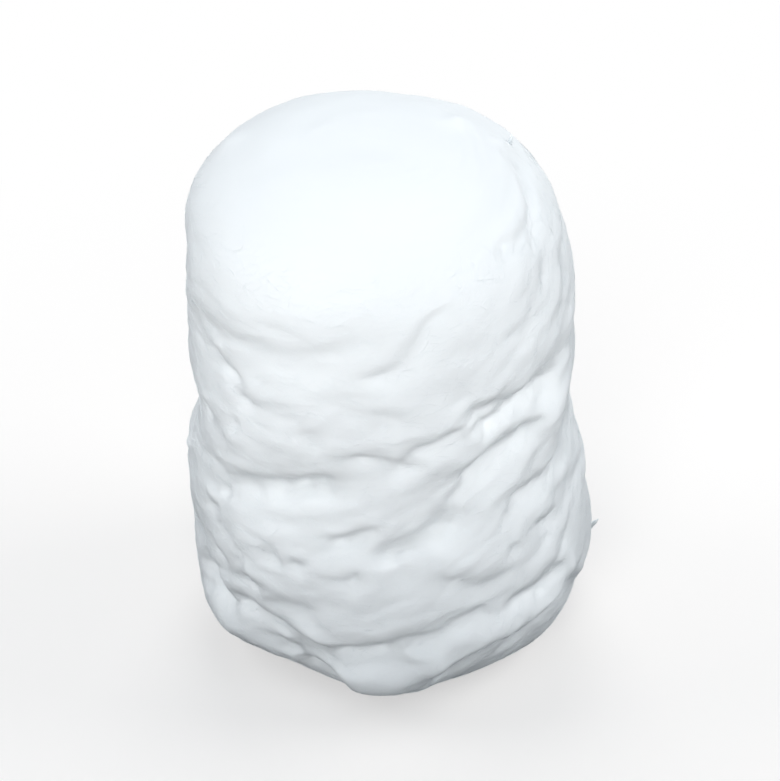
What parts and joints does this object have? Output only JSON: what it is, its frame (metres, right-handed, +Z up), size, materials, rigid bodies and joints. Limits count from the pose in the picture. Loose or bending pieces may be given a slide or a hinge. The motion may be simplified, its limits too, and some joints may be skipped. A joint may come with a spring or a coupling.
{
  "type": "cotton wool roll",
  "caption": "Roll of cotton wool: one thick soft lap wound up on itself, standing on its end, with rounded shoulders, a spiral in each end, a slanting free end and deep soft folds.",
  "frame": {"origin": "middle of the flat foot, on the surface that the roll stands on, under the middle of the box round it", "axes": "+Z up along the roll's winding axis; -Y towards the front, where the slanting free end and the foot's lip are; +X to the front's right"},
  "size_m": [0.1098, 0.109, 0.1515],
  "materials": {
    "cotton_wool": "matte, fibrous"
  },
  "bodies": {
    "root": {"cotton_roll": "cotton_wool"}
  },
  "joints": []
}
